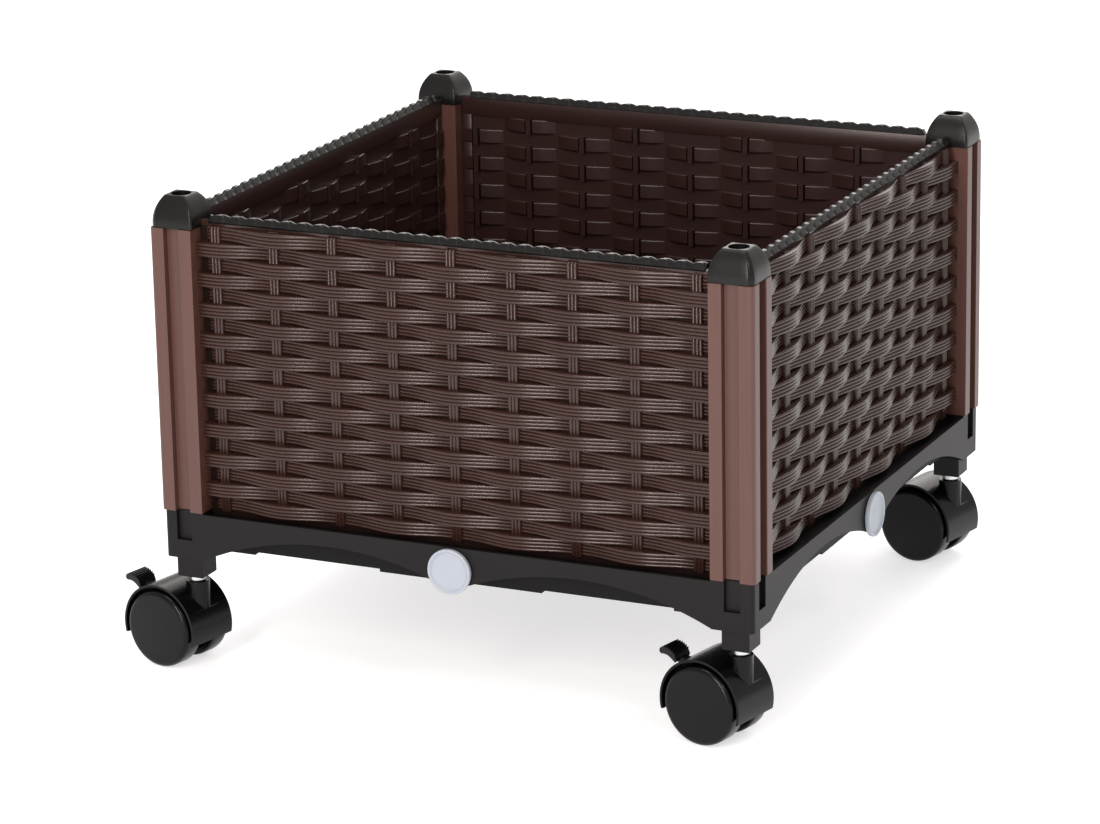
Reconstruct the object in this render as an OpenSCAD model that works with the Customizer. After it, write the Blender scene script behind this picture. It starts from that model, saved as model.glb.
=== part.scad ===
// Square rolling planter: four woven-look panels held in four corner posts,
// over a skirted tray that stands on four twin-wheel casters.
// Millimetres. The origin is on the floor under the middle of the planter,
// +Z is up and the front faces -Y.

/* [Planter] */
// Distance between the centres of neighbouring corner posts
post_pitch = 370; // [330:5:480]
// Height of a corner post, between the tray and its cap
post_h = 182; // [150:1:260]
// Height of the tray's corner columns
base_h = 31; // [28:1:40]

/* [Corner posts] */
// From a post's centre line to its two outer faces
post_out = 15; // [14.5:0.1:17]
// From a post's centre line to its two inner faces
post_in = 13.8; // [13.5:0.1:16]
// Radius of a post's outermost vertical edge
post_corner_r = 3; // [1:0.5:4]
// Width of the flute down each outer face
flute_w = 10.4; // [8:0.2:12]
// Depth of the flute down each outer face
flute_d = 5; // [3:0.25:5]
// How deep a panel's edge enters a post
slot_d = 4; // [3:0.25:4.5]
// Radius of the garden pole hole in a cap
pole_r = 6.5; // [5:0.25:7]

/* [Caps] */
// Height of a cap above its post
cap_h = 19.5; // [15:0.5:24]
// How far a cap stands back from the post's outer faces
cap_inset = 1; // [0.4:0.1:2]
// Half width of the flat on top of a cap
cap_top = 7.6; // [7.4:0.1:9]
// How far a cap's four corners are cut back, along its diagonals
cap_cut = 2; // [1:0.25:2.5]
// Height of a cap's upright rim, below its curved sides
cap_rim = 2; // [1:0.5:4]
// Wall of the sleeve that a cap pushes into its post
sleeve_wall = 1.5; // [1:0.1:1.6]
// Length of the sleeve that a cap pushes into its post
sleeve_len = 12; // [6:1:20]

/* [Panels] */
// Thickness of a panel's sheet
panel_t = 3; // [2:0.25:3.5]
// Number of upright stakes across a panel
stake_n = 9; // [5:2:13]
// Width of one stake
stake_w = 6.6; // [4:0.2:9]
// How far a stake stands out of the sheet
stake_d = 3.2; // [2:0.2:4]
// From a panel's end to the middle of its last stake
stake_edge = 11; // [9:0.5:16]
// Number of woven bands up a panel
band_n = 19; // [9:2:25]
// Groove between one band and the next
band_gap = 0.8; // [0.4:0.1:1.5]
// How far a band bows out where it passes over a stake
bow_d = 7; // [4:0.25:8]
// Length of the blocks inside, where a band passes behind a stake
block_w = 34.5; // [24:0.5:38]
// How far those blocks stand out of the sheet
block_d = 2.2; // [1:0.2:3]
// Height of the plain rail along the top, inside
rail_h = 9; // [5:0.5:12]
// Thickness of that rail
rail_d = 2; // [1:0.2:3]
// How far a panel's sheet stands above its top band
lip_h = 2.9; // [2:0.1:4]

/* [Rope trim] */
// Width of the trim strip
trim_w = 10; // [7:0.5:12]
// Height of the trim strip, to the tops of its humps
trim_h = 6.2; // [5:0.2:9]
// Height of the humps along the trim
hump_h = 2.6; // [1:0.1:3.2]
// Number of humps along a trim
hump_n = 29; // [15:1:40]
// Gap from each end of a trim to the posts
trim_gap = 6; // [2:0.5:12]

/* [Tray] */
// Wall of the skirt, the tray sides and the floor
tray_wall = 2.5; // [2:0.25:3]
// How far the tray's faces stand back from the posts'
base_inset = 1.2; // [0.5:0.1:2]
// Depth of the flute in a corner column
base_flute_d = 3; // [2:0.25:3.25]
// Length of the flute, down from the top of a corner column
base_flute_h = 19; // [10:1:24]
// How far the skirt's top edge is below the columns' tops
skirt_drop = 1; // [0:0.25:2]
// How far the ledge that carries the panels is below the columns' tops
ledge_drop = 4; // [3:0.5:6]
// How far the tray's floor is above the columns' lower ends
floor_rise = 5.5; // [4:0.5:7]
// Height of the feet under the tray's floor
foot_h = 2; // [1:0.25:3]
// Width of the feet, in from the floor's edge
foot_w = 8; // [5:1:20]
// Length of the foot in the middle of a side
foot_mid = 110; // [60:5:200]
// Length of the foot at each end of a side
foot_end = 30; // [16:2:60]
// Height of the arches in the skirt
arch_h = 20; // [14:0.5:22]
// From the middle of a side to the middle of an arch
arch_x = 84; // [70:1:100]
// Half the span of an arch
arch_half = 88; // [70:1:95]

/* [Drain plugs] */
// Diameter of a plug's disc
plug_d = 28.8; // [22:0.2:32]
// Thickness of a plug's disc, with its rim
plug_t = 3.2; // [2.4:0.2:4]
// Width of the raised rim round a plug's disc
plug_rim = 2.2; // [1.4:0.2:4]
// Diameter of the stem that closes the drain
plug_stem_d = 12; // [8:0.5:14]
// Wall of the tray's boss round that stem
boss_wall = 3; // [2:0.25:4]
// Height of a plug's centre above the columns' lower ends
plug_rise = 15; // [13:0.5:18]

/* [Casters] */
// Diameter of a wheel
wheel_d = 50; // [40:1:54]
// Width of one wheel
wheel_w = 14; // [10:0.5:16]
// Thickness of a wheel's tread ring
tread_t = 3.5; // [3:0.25:6]
// Thickness of a wheel's outer face
face_t = 2.5; // [2:0.25:4]
// From the swivel axis to the axle
trail = 18; // [16:0.5:22]
// Which way the casters point, anticlockwise from the right
heading = 168; // [0:1:359]
// Thickness of the web between the two wheels
web_t = 12; // [11:0.5:15]
// Gap from the web to each wheel
wheel_gap = 0.5; // [0.3:0.1:1]
// Gap from the wheels to the inside of the hood
hood_gap = 2.3; // [1.5:0.1:4]
// Wall of the hood
hood_t = 1.5; // [1:0.1:2.5]
// How far a wheel's face stands out of the hood
wheel_proud = 1.8; // [0:0.1:3]
// How far the hood reaches below the axle
hood_low = 7; // [3:0.5:10]
// Radius of the boss that takes the stem
boss_r = 7.5; // [6.5:0.25:9]
// Height of that boss above the axle
boss_rise = 31.4; // [30.4:0.2:36]
// Diameter of the stem
stem_d = 8; // [6:0.5:9]
// Diameter of the collar on the stem
collar_d = 11; // [9.5:0.5:14]
// Height of the collar on the stem
collar_h = 3.8; // [2:0.2:6]
// Diameter of the axle
axle_d = 6; // [4:0.5:8]

/* [Legs] */
// Width of the square leg between the tray and a caster
leg_w = 17.9; // [15:0.1:18]
// How much of the leg shows below the tray
leg_show = 14; // [8:1:30]
// How much of the leg is inside the tray's column
leg_in = 16; // [10:1:20]

/* [Brake] */
// Width of the pedal
pedal_w = 15; // [10:0.5:18]
// Thickness of the pedal
pedal_t = 3; // [2:0.25:3.5]
// Length of the pedal outside the hood
pedal_len = 13; // [8:0.5:16]
// How far the pedal slopes up when it is released
pedal_rise = 20; // [12:1:25]
// How far the pedal turns down when it is pressed
pedal_throw = 14; // [6:1:14]
// Number of ridges on the pedal
ridge_n = 6; // [3:1:8]
// Height of those ridges
ridge_h = 0.9; // [0.5:0.1:1.5]

/* [Hidden] */

$fn = 72;
eps = 0.01;

// Clearances
seat = 0.2;       // pieces that are pushed together
run = 0.05;       // shafts that turn or slide in their bores
part_gap = 0.3;   // pieces that move past each other

// Heights, from the floor up
half = post_pitch / 2;
axle_z = wheel_d / 2;
boss_top = axle_z + boss_rise;
leg_z = boss_top + part_gap + collar_h;
base_z = leg_z + leg_show;
post_z = base_z + base_h;
cap_z = post_z + post_h;
ledge_z = post_z - ledge_drop;
skirt_z = post_z - skirt_drop;
floor_z = base_z + floor_rise;
plug_z = base_z + plug_rise;

// Panel layout
view_half = half - post_in - seat;              // half the width between the posts
sheet_half = half - post_in + slot_d - seat;    // half the width with the edges in the slots
weave_z = post_z;
weave_over = 1.3;                               // how far the top band stands above the posts
weave_h = post_h + weave_over;
band_pitch = weave_h / band_n;
stake_pitch = 2 * (view_half - stake_edge) / (stake_n - 1);
sheet_top = weave_z + weave_h + lip_h;
low_d = 1;                                      // a band's height where it goes behind a stake
dip = stake_w * 0.7;                            // half the length over which it does so
crest = stake_pitch / 5;                        // half the length of a bow's crest
shoulder_d = bow_d * 0.78;                      // a bow's height halfway to the next stake
trim_z = weave_z + weave_h + 2 * seat;

// Post and cap
sleeve_r = pole_r + sleeve_wall;
core_r = sleeve_r + seat;                       // hollow core of a post
spigot_h = 10;                                  // spigot of the tray, up inside a post
cap_half = post_out - cap_inset;
cap_corner = cap_half * sqrt(2) - cap_cut;      // from the pole hole to a cut corner, at the rim
cap_corner_top = cap_top * sqrt(2) - cap_cut;   // the same at the top

// Tray
tray_half = half + panel_t / 2;                 // outside of the tray's upright sides
tray_inner = tray_half - tray_wall;
skirt_face = half + post_out - base_inset;      // outside of the skirt and the columns
column_out = post_out - base_inset;             // a column's outer faces, from its post's centre

// Caster
hood_in = axle_z + hood_gap;
hood_r = hood_in + hood_t;
wheel_in = web_t / 2 + wheel_gap;
wheel_out = wheel_in + wheel_w;
hood_half = wheel_out - wheel_proud;
hub_t = 3;                                      // wall of a wheel's hub
lug_t = 5;                                      // wall of the web round the axle
stem_low = axle_z + axle_d / 2 + 2;
stem_top = leg_z + leg_show + leg_in - 6;
pivot_x = 8;                                    // brake pivot, from the axle
pivot_z = 16;
pin_r = 1.5;
neck_w = 6;                                     // width of the pedal's neck
neck_r = 4;                                     // radius of its eye, round the pin
pedal_in = hood_r - 1.6;                        // pedal's inner end, from the axle along X
pedal_z = 18.4;                                 // pedal's underside there, from the axle

moulded_black = "#2b2c2c";
weave_brown = "#46332f";
post_brown = "#5b4641";
plug_white = "#d9e1e8";
steel = "#b9bcc0";

// Places on the planter

// Turns a piece of the front to side i: front, right, back, left
module on_side(i) {
    rotate(90 * i) children();
}

// Puts a piece on the corner i: front left, front right, back right, back left.
// Its outer faces look along -X and -Y before it is turned there.
module on_corner(i) {
    rotate(90 * i) translate([-half, -half, 0]) children();
}

// Puts a caster's piece under the corner i, with the axle along +X from the stem
module on_caster(i) {
    translate([[-half, half, half, -half][i], [-half, -half, half, half][i], 0])
        rotate(heading) children();
}

// A cylinder along Y, centred on x and z, from y0 to y1
module shaft_y(r, x, z, y0, y1) {
    translate([x, y1, z]) rotate([90, 0, 0]) cylinder(r = r, h = y1 - y0);
}

// Posts

// Square with one rounded corner at its outermost edge
module post_outline(outer, inner, r) {
    translate([-outer + r, -outer]) square([outer + inner - r, outer + inner]);
    translate([-outer, -outer + r]) square([outer + inner, outer + inner - r]);
    translate([-outer + r, -outer + r]) circle(r);
}

module post() {
    color(post_brown)
    translate([0, 0, post_z])
    linear_extrude(height = post_h)
    difference() {
        post_outline(post_out, post_in, post_corner_r);
        circle(core_r);
        translate([-flute_w / 2, -post_out - 1]) square([flute_w, flute_d + 1]);
        translate([-post_out - 1, -flute_w / 2]) square([flute_d + 1, flute_w]);
        translate([post_in - slot_d, -panel_t / 2 - seat]) square([slot_d + 1, panel_t + 2 * seat]);
        translate([-panel_t / 2 - seat, post_in - slot_d]) square([panel_t + 2 * seat, slot_d + 1]);
    }
}

// Caps

// Upright rim with an arc on each side that leans in to the top, as an outline
module vault_outline(bottom, top, rim, h) {
    rise = h - rim;
    lean = bottom - top;
    r = (rise * rise + lean * lean) / (2 * lean);
    translate([-bottom, 0]) square([2 * bottom, rim + eps]);
    intersection() {
        translate([bottom - r, rim]) circle(r);
        translate([r - bottom, rim]) circle(r);
        translate([-bottom, rim]) square([2 * bottom, rise]);
    }
}

module vault(bottom, top, turn) {
    span = 4 * bottom;
    rotate(turn) translate([0, span / 2, 0]) rotate([90, 0, 0])
        linear_extrude(height = span) vault_outline(bottom, top, cap_rim, cap_h);
}

module cap() {
    color(moulded_black)
    translate([0, 0, cap_z])
    difference() {
        union() {
            intersection() {
                vault(cap_half, cap_top, 0);
                vault(cap_half, cap_top, 90);
                vault(cap_corner, cap_corner_top, 45);
                vault(cap_corner, cap_corner_top, -45);
            }
            translate([0, 0, -sleeve_len]) cylinder(r = sleeve_r, h = sleeve_len + cap_rim);
        }
        translate([0, 0, -sleeve_len - 1]) cylinder(r = pole_r, h = sleeve_len + cap_h + 2);
    }
}

// Panels

// Middle of stake k, along the panel
function stake_x(k) = (k - (stake_n - 1) / 2) * stake_pitch;

// Outer edge of a band across stake k: low where it goes behind, bowed where it goes over
function over_stake(k) = [
    if (k > 0) [stake_x(k) - stake_pitch / 2, -shoulder_d],
    [k > 0 ? stake_x(k) - crest : -view_half, -bow_d],
    [k < stake_n - 1 ? stake_x(k) + crest : view_half, -bow_d],
    if (k < stake_n - 1) [stake_x(k) + stake_pitch / 2, -shoulder_d]
];
function behind_stake(k) = [
    [k > 0 ? stake_x(k) - dip : -view_half, -low_d],
    [k < stake_n - 1 ? stake_x(k) + dip : view_half, -low_d]
];
function band_front(phase) = [
    for (k = [0 : stake_n - 1])
        each ((k + phase) % 2 == 0 ? behind_stake(k) : over_stake(k))
];

// Inner edge of a band: flat, with a raised block where it goes behind a stake
function block_at(k) =
    let (right = min(stake_x(k) + block_w / 2, view_half - 1),
         left = max(stake_x(k) - block_w / 2, -view_half + 1))
    [[right, -eps], [right, block_d], [left, block_d], [left, -eps]];
function band_back(phase, blocks) = [
    [view_half, -eps],
    for (k = [stake_n - 1 : -1 : 0])
        if (blocks && (k + phase) % 2 == 0) each block_at(k),
    [-view_half, -eps]
];

// One woven band, from the sheet's outer face forwards and its inner face back
module band(i) {
    phase = i % 2;
    blocks = (i + 1) * band_pitch < weave_h - rail_h;
    back = panel_t;
    points = concat([for (q = band_front(phase)) q],
                    [for (q = band_back(phase, blocks)) [q[0], q[1] + back]]);
    translate([0, 0, weave_z + i * band_pitch + band_gap / 2])
        linear_extrude(height = band_pitch - band_gap) polygon(points);
}

module panel() {
    color(weave_brown)
    translate([0, -half - panel_t / 2, 0]) {
        // Sheet between the columns, the posts and the caps, and its edges in the posts' slots
        translate([-view_half, 0, ledge_z])
            cube([2 * view_half, panel_t, sheet_top - ledge_z]);
        translate([-sheet_half, 0, post_z + seat])
            cube([2 * sheet_half, panel_t, post_h - 2 * seat]);
        translate([-view_half, panel_t - eps, weave_z + weave_h - rail_h])
            cube([2 * view_half, rail_d, rail_h]);
        for (k = [0 : stake_n - 1])
            translate([stake_x(k) - stake_w / 2, -stake_d, weave_z])
                cube([stake_w, stake_d + eps, weave_h]);
        for (i = [0 : band_n - 1])
            band(i);
    }
}

// Rope trim

module trim() {
    len = 2 * (view_half - trim_gap);
    pitch = len / hump_n;
    top = trim_h - hump_h;
    // Each hump rises over a quarter of its pitch, runs flat, and falls again
    rise = pitch / 4;
    flat = pitch * 0.45;
    humps = [for (i = [0 : hump_n - 1]) each [
        [i * pitch, top],
        [i * pitch + rise, trim_h],
        [i * pitch + rise + flat, trim_h]
    ]];
    color(moulded_black)
    difference() {
        translate([-len / 2, -half + trim_w / 2, trim_z])
            rotate([90, 0, 0])
            linear_extrude(height = trim_w)
            polygon(concat([[len, 0], [0, 0]], humps, [[len, top]]));
        translate([-half, -half - panel_t / 2 - seat, trim_z - 1])
            cube([2 * half, panel_t + 2 * seat, sheet_top + seat - trim_z + 1]);
    }
}

// Tray

// Skirt between two columns, with its two arches
module skirt() {
    arch_r = (arch_h * arch_h + arch_half * arch_half) / (2 * arch_h);
    difference() {
        translate([-half, -skirt_face, base_z])
            cube([2 * half, tray_wall, skirt_z - base_z]);
        for (s = [-1, 1])
            shaft_y(arch_r, s * arch_x, base_z + arch_h - arch_r,
                    -skirt_face - 1, -skirt_face + tray_wall + 1);
    }
}

// Column that carries a post, with a spigot that the hollow post stands over
module corner_column() {
    translate([0, 0, base_z]) linear_extrude(height = base_h)
        post_outline(column_out, post_in, post_corner_r);
    translate([0, 0, post_z - 1]) cylinder(r = sleeve_r, h = spigot_h + 1);
}

// Hole for the leg and the two flutes
module column_cuts() {
    hole = leg_w / 2 + seat / 2;
    translate([-hole, -hole, base_z - 1]) cube([2 * hole, 2 * hole, leg_in + 1]);
    for (m = [0, 1]) mirror([m, -m, 0])
        translate([-flute_w / 2, -column_out - 1, post_z - base_flute_h])
            cube([flute_w, base_flute_d + 1, base_flute_h + 1]);
}

// Feet along one edge of the floor: a long one in the middle and one at each end
module feet() {
    end_x = half - post_in - foot_end / 2 + 1;
    for (f = [[0, foot_mid], [-end_x, foot_end], [end_x, foot_end]])
        translate([f[0] - f[1] / 2, -tray_half + part_gap, floor_z - foot_h])
            cube([f[1], foot_w, foot_h + 1]);
}

module base_tray() {
    ledge_out = skirt_face - tray_wall / 2;
    drain_r = plug_stem_d / 2;
    color(moulded_black)
    difference() {
        union() {
            // Floor and upright sides
            translate([-tray_half, -tray_half, floor_z])
                cube([2 * tray_half, 2 * tray_half, ledge_z - tray_wall / 2 - floor_z]);
            // Ledge that carries the panels and joins the skirt
            translate([-ledge_out, -ledge_out, ledge_z - tray_wall])
                cube([2 * ledge_out, 2 * ledge_out, tray_wall]);
            for (i = [0 : 3]) {
                on_side(i) skirt();
                on_side(i)
                    shaft_y(drain_r + boss_wall, 0, plug_z, -skirt_face + part_gap, -tray_inner);
                on_side(i) feet();
                on_corner(i) corner_column();
            }
        }
        // Inside of the tray, around the four columns
        difference() {
            translate([-tray_inner, -tray_inner, floor_z + tray_wall])
                cube([2 * tray_inner, 2 * tray_inner, ledge_z]);
            for (i = [0 : 3]) on_corner(i)
                translate([-post_out, -post_out, floor_z])
                    cube([post_out + post_in, post_out + post_in, base_h + spigot_h + base_z]);
        }
        for (i = [0 : 3]) {
            on_corner(i) column_cuts();
            on_side(i) shaft_y(drain_r + run, 0, plug_z, -skirt_face - 1, -tray_inner + 1);
        }
    }
}

// Plug: a dished disc on a stem that closes the drain hole
module drain_plug() {
    back = skirt_face + seat / 2;
    stem = back - tray_inner - seat;
    stem_r = plug_stem_d / 2;
    edge = plug_d / 2;
    dish = edge - plug_rim;
    depth = plug_t / 3;
    bevel = 0.5;
    color(plug_white)
    translate([0, -back, plug_z]) rotate([90, 0, 0])
    rotate_extrude($fn = 96)
    polygon([[0, -stem], [stem_r - bevel, -stem], [stem_r, -stem + bevel], [stem_r, 0],
             [edge - bevel, 0], [edge, bevel], [edge, plug_t - bevel], [edge - bevel, plug_t],
             [dish, plug_t], [dish - bevel, plug_t - depth], [0, plug_t - depth]]);
}

// Legs and casters

module leg() {
    color(moulded_black)
    difference() {
        translate([-leg_w / 2, -leg_w / 2, leg_z])
            cube([leg_w, leg_w, leg_show + leg_in - seat]);
        translate([0, 0, leg_z - 1])
            cylinder(d = stem_d + 2 * run, h = stem_top - leg_z + 2);
    }
}

module stem() {
    color(steel) {
        translate([0, 0, stem_low])
            cylinder(d = stem_d, h = stem_top - stem_low);
        translate([0, 0, leg_z - collar_h])
            cylinder(d = collar_d, h = collar_h);
    }
}

// Room that the brake's neck sweeps, as an outline seen along the axle
module brake_sweep_outline() {
    far = 1.2 * hood_r;
    up = 40;
    down = -30;
    translate([trail + pivot_x, axle_z + pivot_z]) {
        circle(neck_r + part_gap);
        polygon([[0, neck_r], far * [cos(up), sin(up)], [far, 0], far * [cos(down), sin(down)],
                 [0, -neck_r]]);
    }
}

module brake_sweep() {
    slot = neck_w + 2 * part_gap;
    translate([0, slot / 2, 0]) rotate([90, 0, 0])
        linear_extrude(height = slot) brake_sweep_outline();
}

module hood(braked) {
    color(moulded_black)
    difference() {
        union() {
            intersection() {
                shaft_y(hood_r, trail, axle_z, -hood_half, hood_half);
                translate([trail - hood_r - 1, -hood_half - 1, axle_z - hood_low])
                    cube([2 * hood_r + 2, 2 * hood_half + 2, hood_r + hood_low + 1]);
            }
            shaft_y(axle_d / 2 + lug_t, trail, axle_z, -web_t / 2, web_t / 2);
            translate([0, 0, axle_z]) cylinder(r = boss_r, h = boss_rise);
        }
        // Room for the two wheels
        for (s = [0, 1])
            mirror([0, s, 0])
                shaft_y(hood_in, trail, axle_z, web_t / 2, hood_half + boss_r);
        translate([0, 0, stem_low - part_gap])
            cylinder(d = stem_d + 2 * run, h = boss_top - stem_low + 1);
        shaft_y(axle_d / 2 + run / 2, trail, axle_z, -web_t / 2 - 1, web_t / 2 + 1);
        if (braked) {
            brake_sweep();
            shaft_y(pin_r + run / 2, trail + pivot_x, axle_z + pivot_z, -web_t / 2 - 1, web_t / 2 + 1);
        }
    }
}

module axle() {
    reach = wheel_out - face_t - 1;
    color(steel) shaft_y(axle_d / 2, trail, axle_z, -reach, reach);
}

// Wheel on the +Y side: a tread ring behind a closed face, on a hub
module wheel() {
    r = wheel_d / 2;
    hub_r = axle_d / 2 + hub_t;
    bore = axle_d / 2 + run;
    bore_end = face_t + part_gap;
    color(moulded_black)
    translate([trail, wheel_out, axle_z])
    rotate([90, 0, 0])
    rotate_extrude($fn = 96)
    polygon([[0, 0], [r - 2.6, 0], [r - 1.2, 0.5], [r - 0.3, 1.6], [r, 3],
             [r, wheel_w - 1.5], [r - 1, wheel_w], [r - tread_t, wheel_w],
             [r - tread_t, face_t], [hub_r, face_t], [hub_r, wheel_w],
             [bore, wheel_w], [bore, bore_end], [0, bore_end]]);
}

module on_far_side(far) {
    mirror([0, far ? 1 : 0, 0]) children();
}

// Pedal with ridges, on a neck that turns about the pin
module brake_pedal() {
    px = trail + pivot_x;
    pz = axle_z + pivot_z;
    root_x = pedal_in - pivot_x;
    root_z = pedal_z - pivot_z;
    ridge_pitch = pedal_len / ridge_n;
    color(moulded_black)
    translate([px, 0, pz])
    difference() {
        union() {
            shaft_y(neck_r, 0, 0, -neck_w / 2, neck_w / 2);
            translate([0, neck_w / 2, 0]) rotate([90, 0, 0]) linear_extrude(height = neck_w)
                polygon([[0, -neck_r / 2], [root_x + 2, root_z - 0.5],
                         [root_x + 2, root_z + pedal_t], [0, neck_r - 0.5]]);
            translate([root_x, -pedal_w / 2, root_z]) rotate([0, -pedal_rise, 0]) {
                cube([pedal_len, pedal_w, pedal_t]);
                for (i = [0 : ridge_n - 1])
                    translate([(i + 0.2) * ridge_pitch, 0, pedal_t - eps])
                        cube([0.55 * ridge_pitch, pedal_w, ridge_h]);
            }
        }
        shaft_y(pin_r + run, 0, 0, -neck_w, neck_w);
    }
}

module brake_pin() {
    color(steel)
        shaft_y(pin_r, trail + pivot_x, axle_z + pivot_z, -web_t / 2, web_t / 2);
}

base_tray();
on_side(0) panel();  // panel_front
on_side(1) panel();  // panel_right
on_side(2) panel();  // panel_back
on_side(3) panel();  // panel_left
on_side(0) trim();  // trim_front
on_side(1) trim();  // trim_right
on_side(2) trim();  // trim_back
on_side(3) trim();  // trim_left
on_corner(0) post();  // post_fl
on_corner(1) post();  // post_fr
on_corner(2) post();  // post_br
on_corner(3) post();  // post_bl
on_corner(0) cap();  // cap_fl
on_corner(1) cap();  // cap_fr
on_corner(2) cap();  // cap_br
on_corner(3) cap();  // cap_bl
on_side(0) drain_plug();  // drain_plug_front
on_side(1) drain_plug();  // drain_plug_right
on_side(2) drain_plug();  // drain_plug_back
on_side(3) drain_plug();  // drain_plug_left
on_corner(0) leg();  // leg_fl
on_corner(1) leg();  // leg_fr
on_corner(2) leg();  // leg_br
on_corner(3) leg();  // leg_bl
on_caster(0) stem();  // stem_fl
on_caster(1) stem();  // stem_fr
on_caster(2) stem();  // stem_br
on_caster(3) stem();  // stem_bl
on_caster(0) hood(true);  // hood_fl
on_caster(1) hood(true);  // hood_fr
on_caster(2) hood(false);  // hood_br
on_caster(3) hood(false);  // hood_bl
on_caster(0) axle();  // axle_fl
on_caster(1) axle();  // axle_fr
on_caster(2) axle();  // axle_br
on_caster(3) axle();  // axle_bl
on_caster(0) on_far_side(false) wheel();  // wheel_fl_near
on_caster(1) on_far_side(false) wheel();  // wheel_fr_near
on_caster(2) on_far_side(false) wheel();  // wheel_br_near
on_caster(3) on_far_side(false) wheel();  // wheel_bl_near
on_caster(0) on_far_side(true) wheel();  // wheel_fl_far
on_caster(1) on_far_side(true) wheel();  // wheel_fr_far
on_caster(2) on_far_side(true) wheel();  // wheel_br_far
on_caster(3) on_far_side(true) wheel();  // wheel_bl_far
on_caster(0) brake_pedal();  // brake_pedal_fl
on_caster(1) brake_pedal();  // brake_pedal_fr
on_caster(0) brake_pin();  // brake_pin_fl
on_caster(1) brake_pin();  // brake_pin_fr
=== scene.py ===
# Rolling planter: woven-look panels in four corner posts, a skirted tray and braked casters.
import math
import bmesh
import bpy
from mathutils import Matrix, Vector


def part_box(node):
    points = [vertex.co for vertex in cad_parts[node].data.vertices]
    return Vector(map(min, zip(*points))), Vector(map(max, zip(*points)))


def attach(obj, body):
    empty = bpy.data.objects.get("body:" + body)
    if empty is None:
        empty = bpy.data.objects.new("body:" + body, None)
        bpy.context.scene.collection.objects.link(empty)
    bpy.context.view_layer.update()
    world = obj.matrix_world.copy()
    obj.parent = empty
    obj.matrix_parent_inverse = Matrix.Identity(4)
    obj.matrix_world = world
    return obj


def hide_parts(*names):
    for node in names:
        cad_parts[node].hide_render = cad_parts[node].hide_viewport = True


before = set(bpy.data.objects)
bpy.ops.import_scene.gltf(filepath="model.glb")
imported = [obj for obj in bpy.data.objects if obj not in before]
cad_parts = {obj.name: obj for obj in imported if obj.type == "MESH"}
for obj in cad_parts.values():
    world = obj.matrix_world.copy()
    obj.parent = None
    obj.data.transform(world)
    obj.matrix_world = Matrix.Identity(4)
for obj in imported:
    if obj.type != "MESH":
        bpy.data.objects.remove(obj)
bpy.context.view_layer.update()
mm = 0.001
sideNames = ["front", "right", "back", "left"]
cornerNames = ["fl", "fr", "br", "bl"]


# Places that the frame gives

def middleOf(node):
    low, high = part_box(node)
    return (low + high) / 2


half = middleOf("cap_fr").x                     # from the middle to a post's centre line
postZ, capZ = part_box("post_fl")[0].z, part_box("post_fl")[1].z
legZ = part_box("leg_fl")[0].z
panelLow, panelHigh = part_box("panel_front")
trimLow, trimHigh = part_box("trim_front")
plugZ = middleOf("drain_plug_front").z
axleZ = middleOf("axle_fl").z
along = (middleOf("axle_fl") - middleOf("leg_fl")).to_2d()   # from a caster's stem to its axle
heading = math.atan2(along.y, along.x)
trail = along.length
cornerPlaces = {name: middleOf("cap_" + name).to_2d() for name in cornerNames}
print("frame read: half pitch %.1f mm, trail %.1f mm, heading %.1f degrees"
      % (half / mm, trail / mm, math.degrees(heading)))


# Camera at the photograph's angle, and soft studio light on a plain floor

camera = {"azimuth": 24.986, "elevation": 16.726, "roll": -1.080,      # degrees
          "place": (1108.1, -2429.2, 937.4), "sensor": 36,             # mm
          "focal": 4319 / 1100}                                        # in picture widths

# Each light's place and size in metres, its power in watts and its colour
studio = {"sky": "#fff9f6", "skyStrength": 0.7, "aim": (0, 0, 0.15),
          "floor": "#d9dbdd", "floorGlow": 0.58, "floorRoughness": 0.9, "floorSize": 9.0,
          "floorDrop": 0.2,                       # mm, which keeps it clear of the wheels' treads
          "lights": {"front": ((0.12, -3.0, 1.35), (0.5, 2.2), 81, "#fff1ed"),
                     "side": ((1.55, -1.35, 1.8), (0.35, 0.35), 9, "#fff9f6"),
                     "top": ((0.2, 1.3, 3.0), (2.4, 2.2), 34, "#fff9f6"),
                     "edge": ((-0.5, -0.65, 3.0), (0.9, 0.9), 16, "#fff9f6"),
                     "back": ((-0.7, 4.2, 1.9), (3.6, 2.6), 62, "#fff9f6")}}


def hexColour(code):
    parts = [int(code[i:i + 2], 16) / 255 for i in (1, 3, 5)]
    return tuple(p / 12.92 if p <= 0.04045 else ((p + 0.055) / 1.055) ** 2.4
                 for p in parts) + (1.0,)


def addNode(tree, kind, inputs=(), **settings):
    node = tree.nodes.new(kind)
    for name, value in settings.items():
        setattr(node, name, value)
    pairs = inputs.items() if isinstance(inputs, dict) else enumerate(inputs)
    for key, value in pairs:
        if isinstance(value, bpy.types.Node):
            value = value.outputs[0]
        if isinstance(value, bpy.types.NodeSocket):
            tree.links.new(value, node.inputs[key])
        elif value is not None:
            node.inputs[key].default_value = value
    return node


def makeCamera():
    data = bpy.data.cameras.new("camera")
    data.sensor_width = camera["sensor"]
    data.lens = camera["focal"] * data.sensor_width
    data.clip_start, data.clip_end = 0.05, 60
    az, el, roll = (math.radians(camera[k]) for k in ("azimuth", "elevation", "roll"))
    back = Vector((math.sin(az) * math.cos(el), -math.cos(az) * math.cos(el), math.sin(el)))
    right = Vector((math.cos(az), math.sin(az), 0))
    up = back.cross(right)
    turned = Matrix((right * math.cos(roll) + up * math.sin(roll),
                     up * math.cos(roll) - right * math.sin(roll), back)).transposed()
    obj = bpy.data.objects.new("camera", data)
    obj.matrix_world = Matrix.Translation(Vector(camera["place"]) * mm) @ turned.to_4x4()
    bpy.context.scene.collection.objects.link(obj)
    bpy.context.scene.camera = obj


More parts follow.
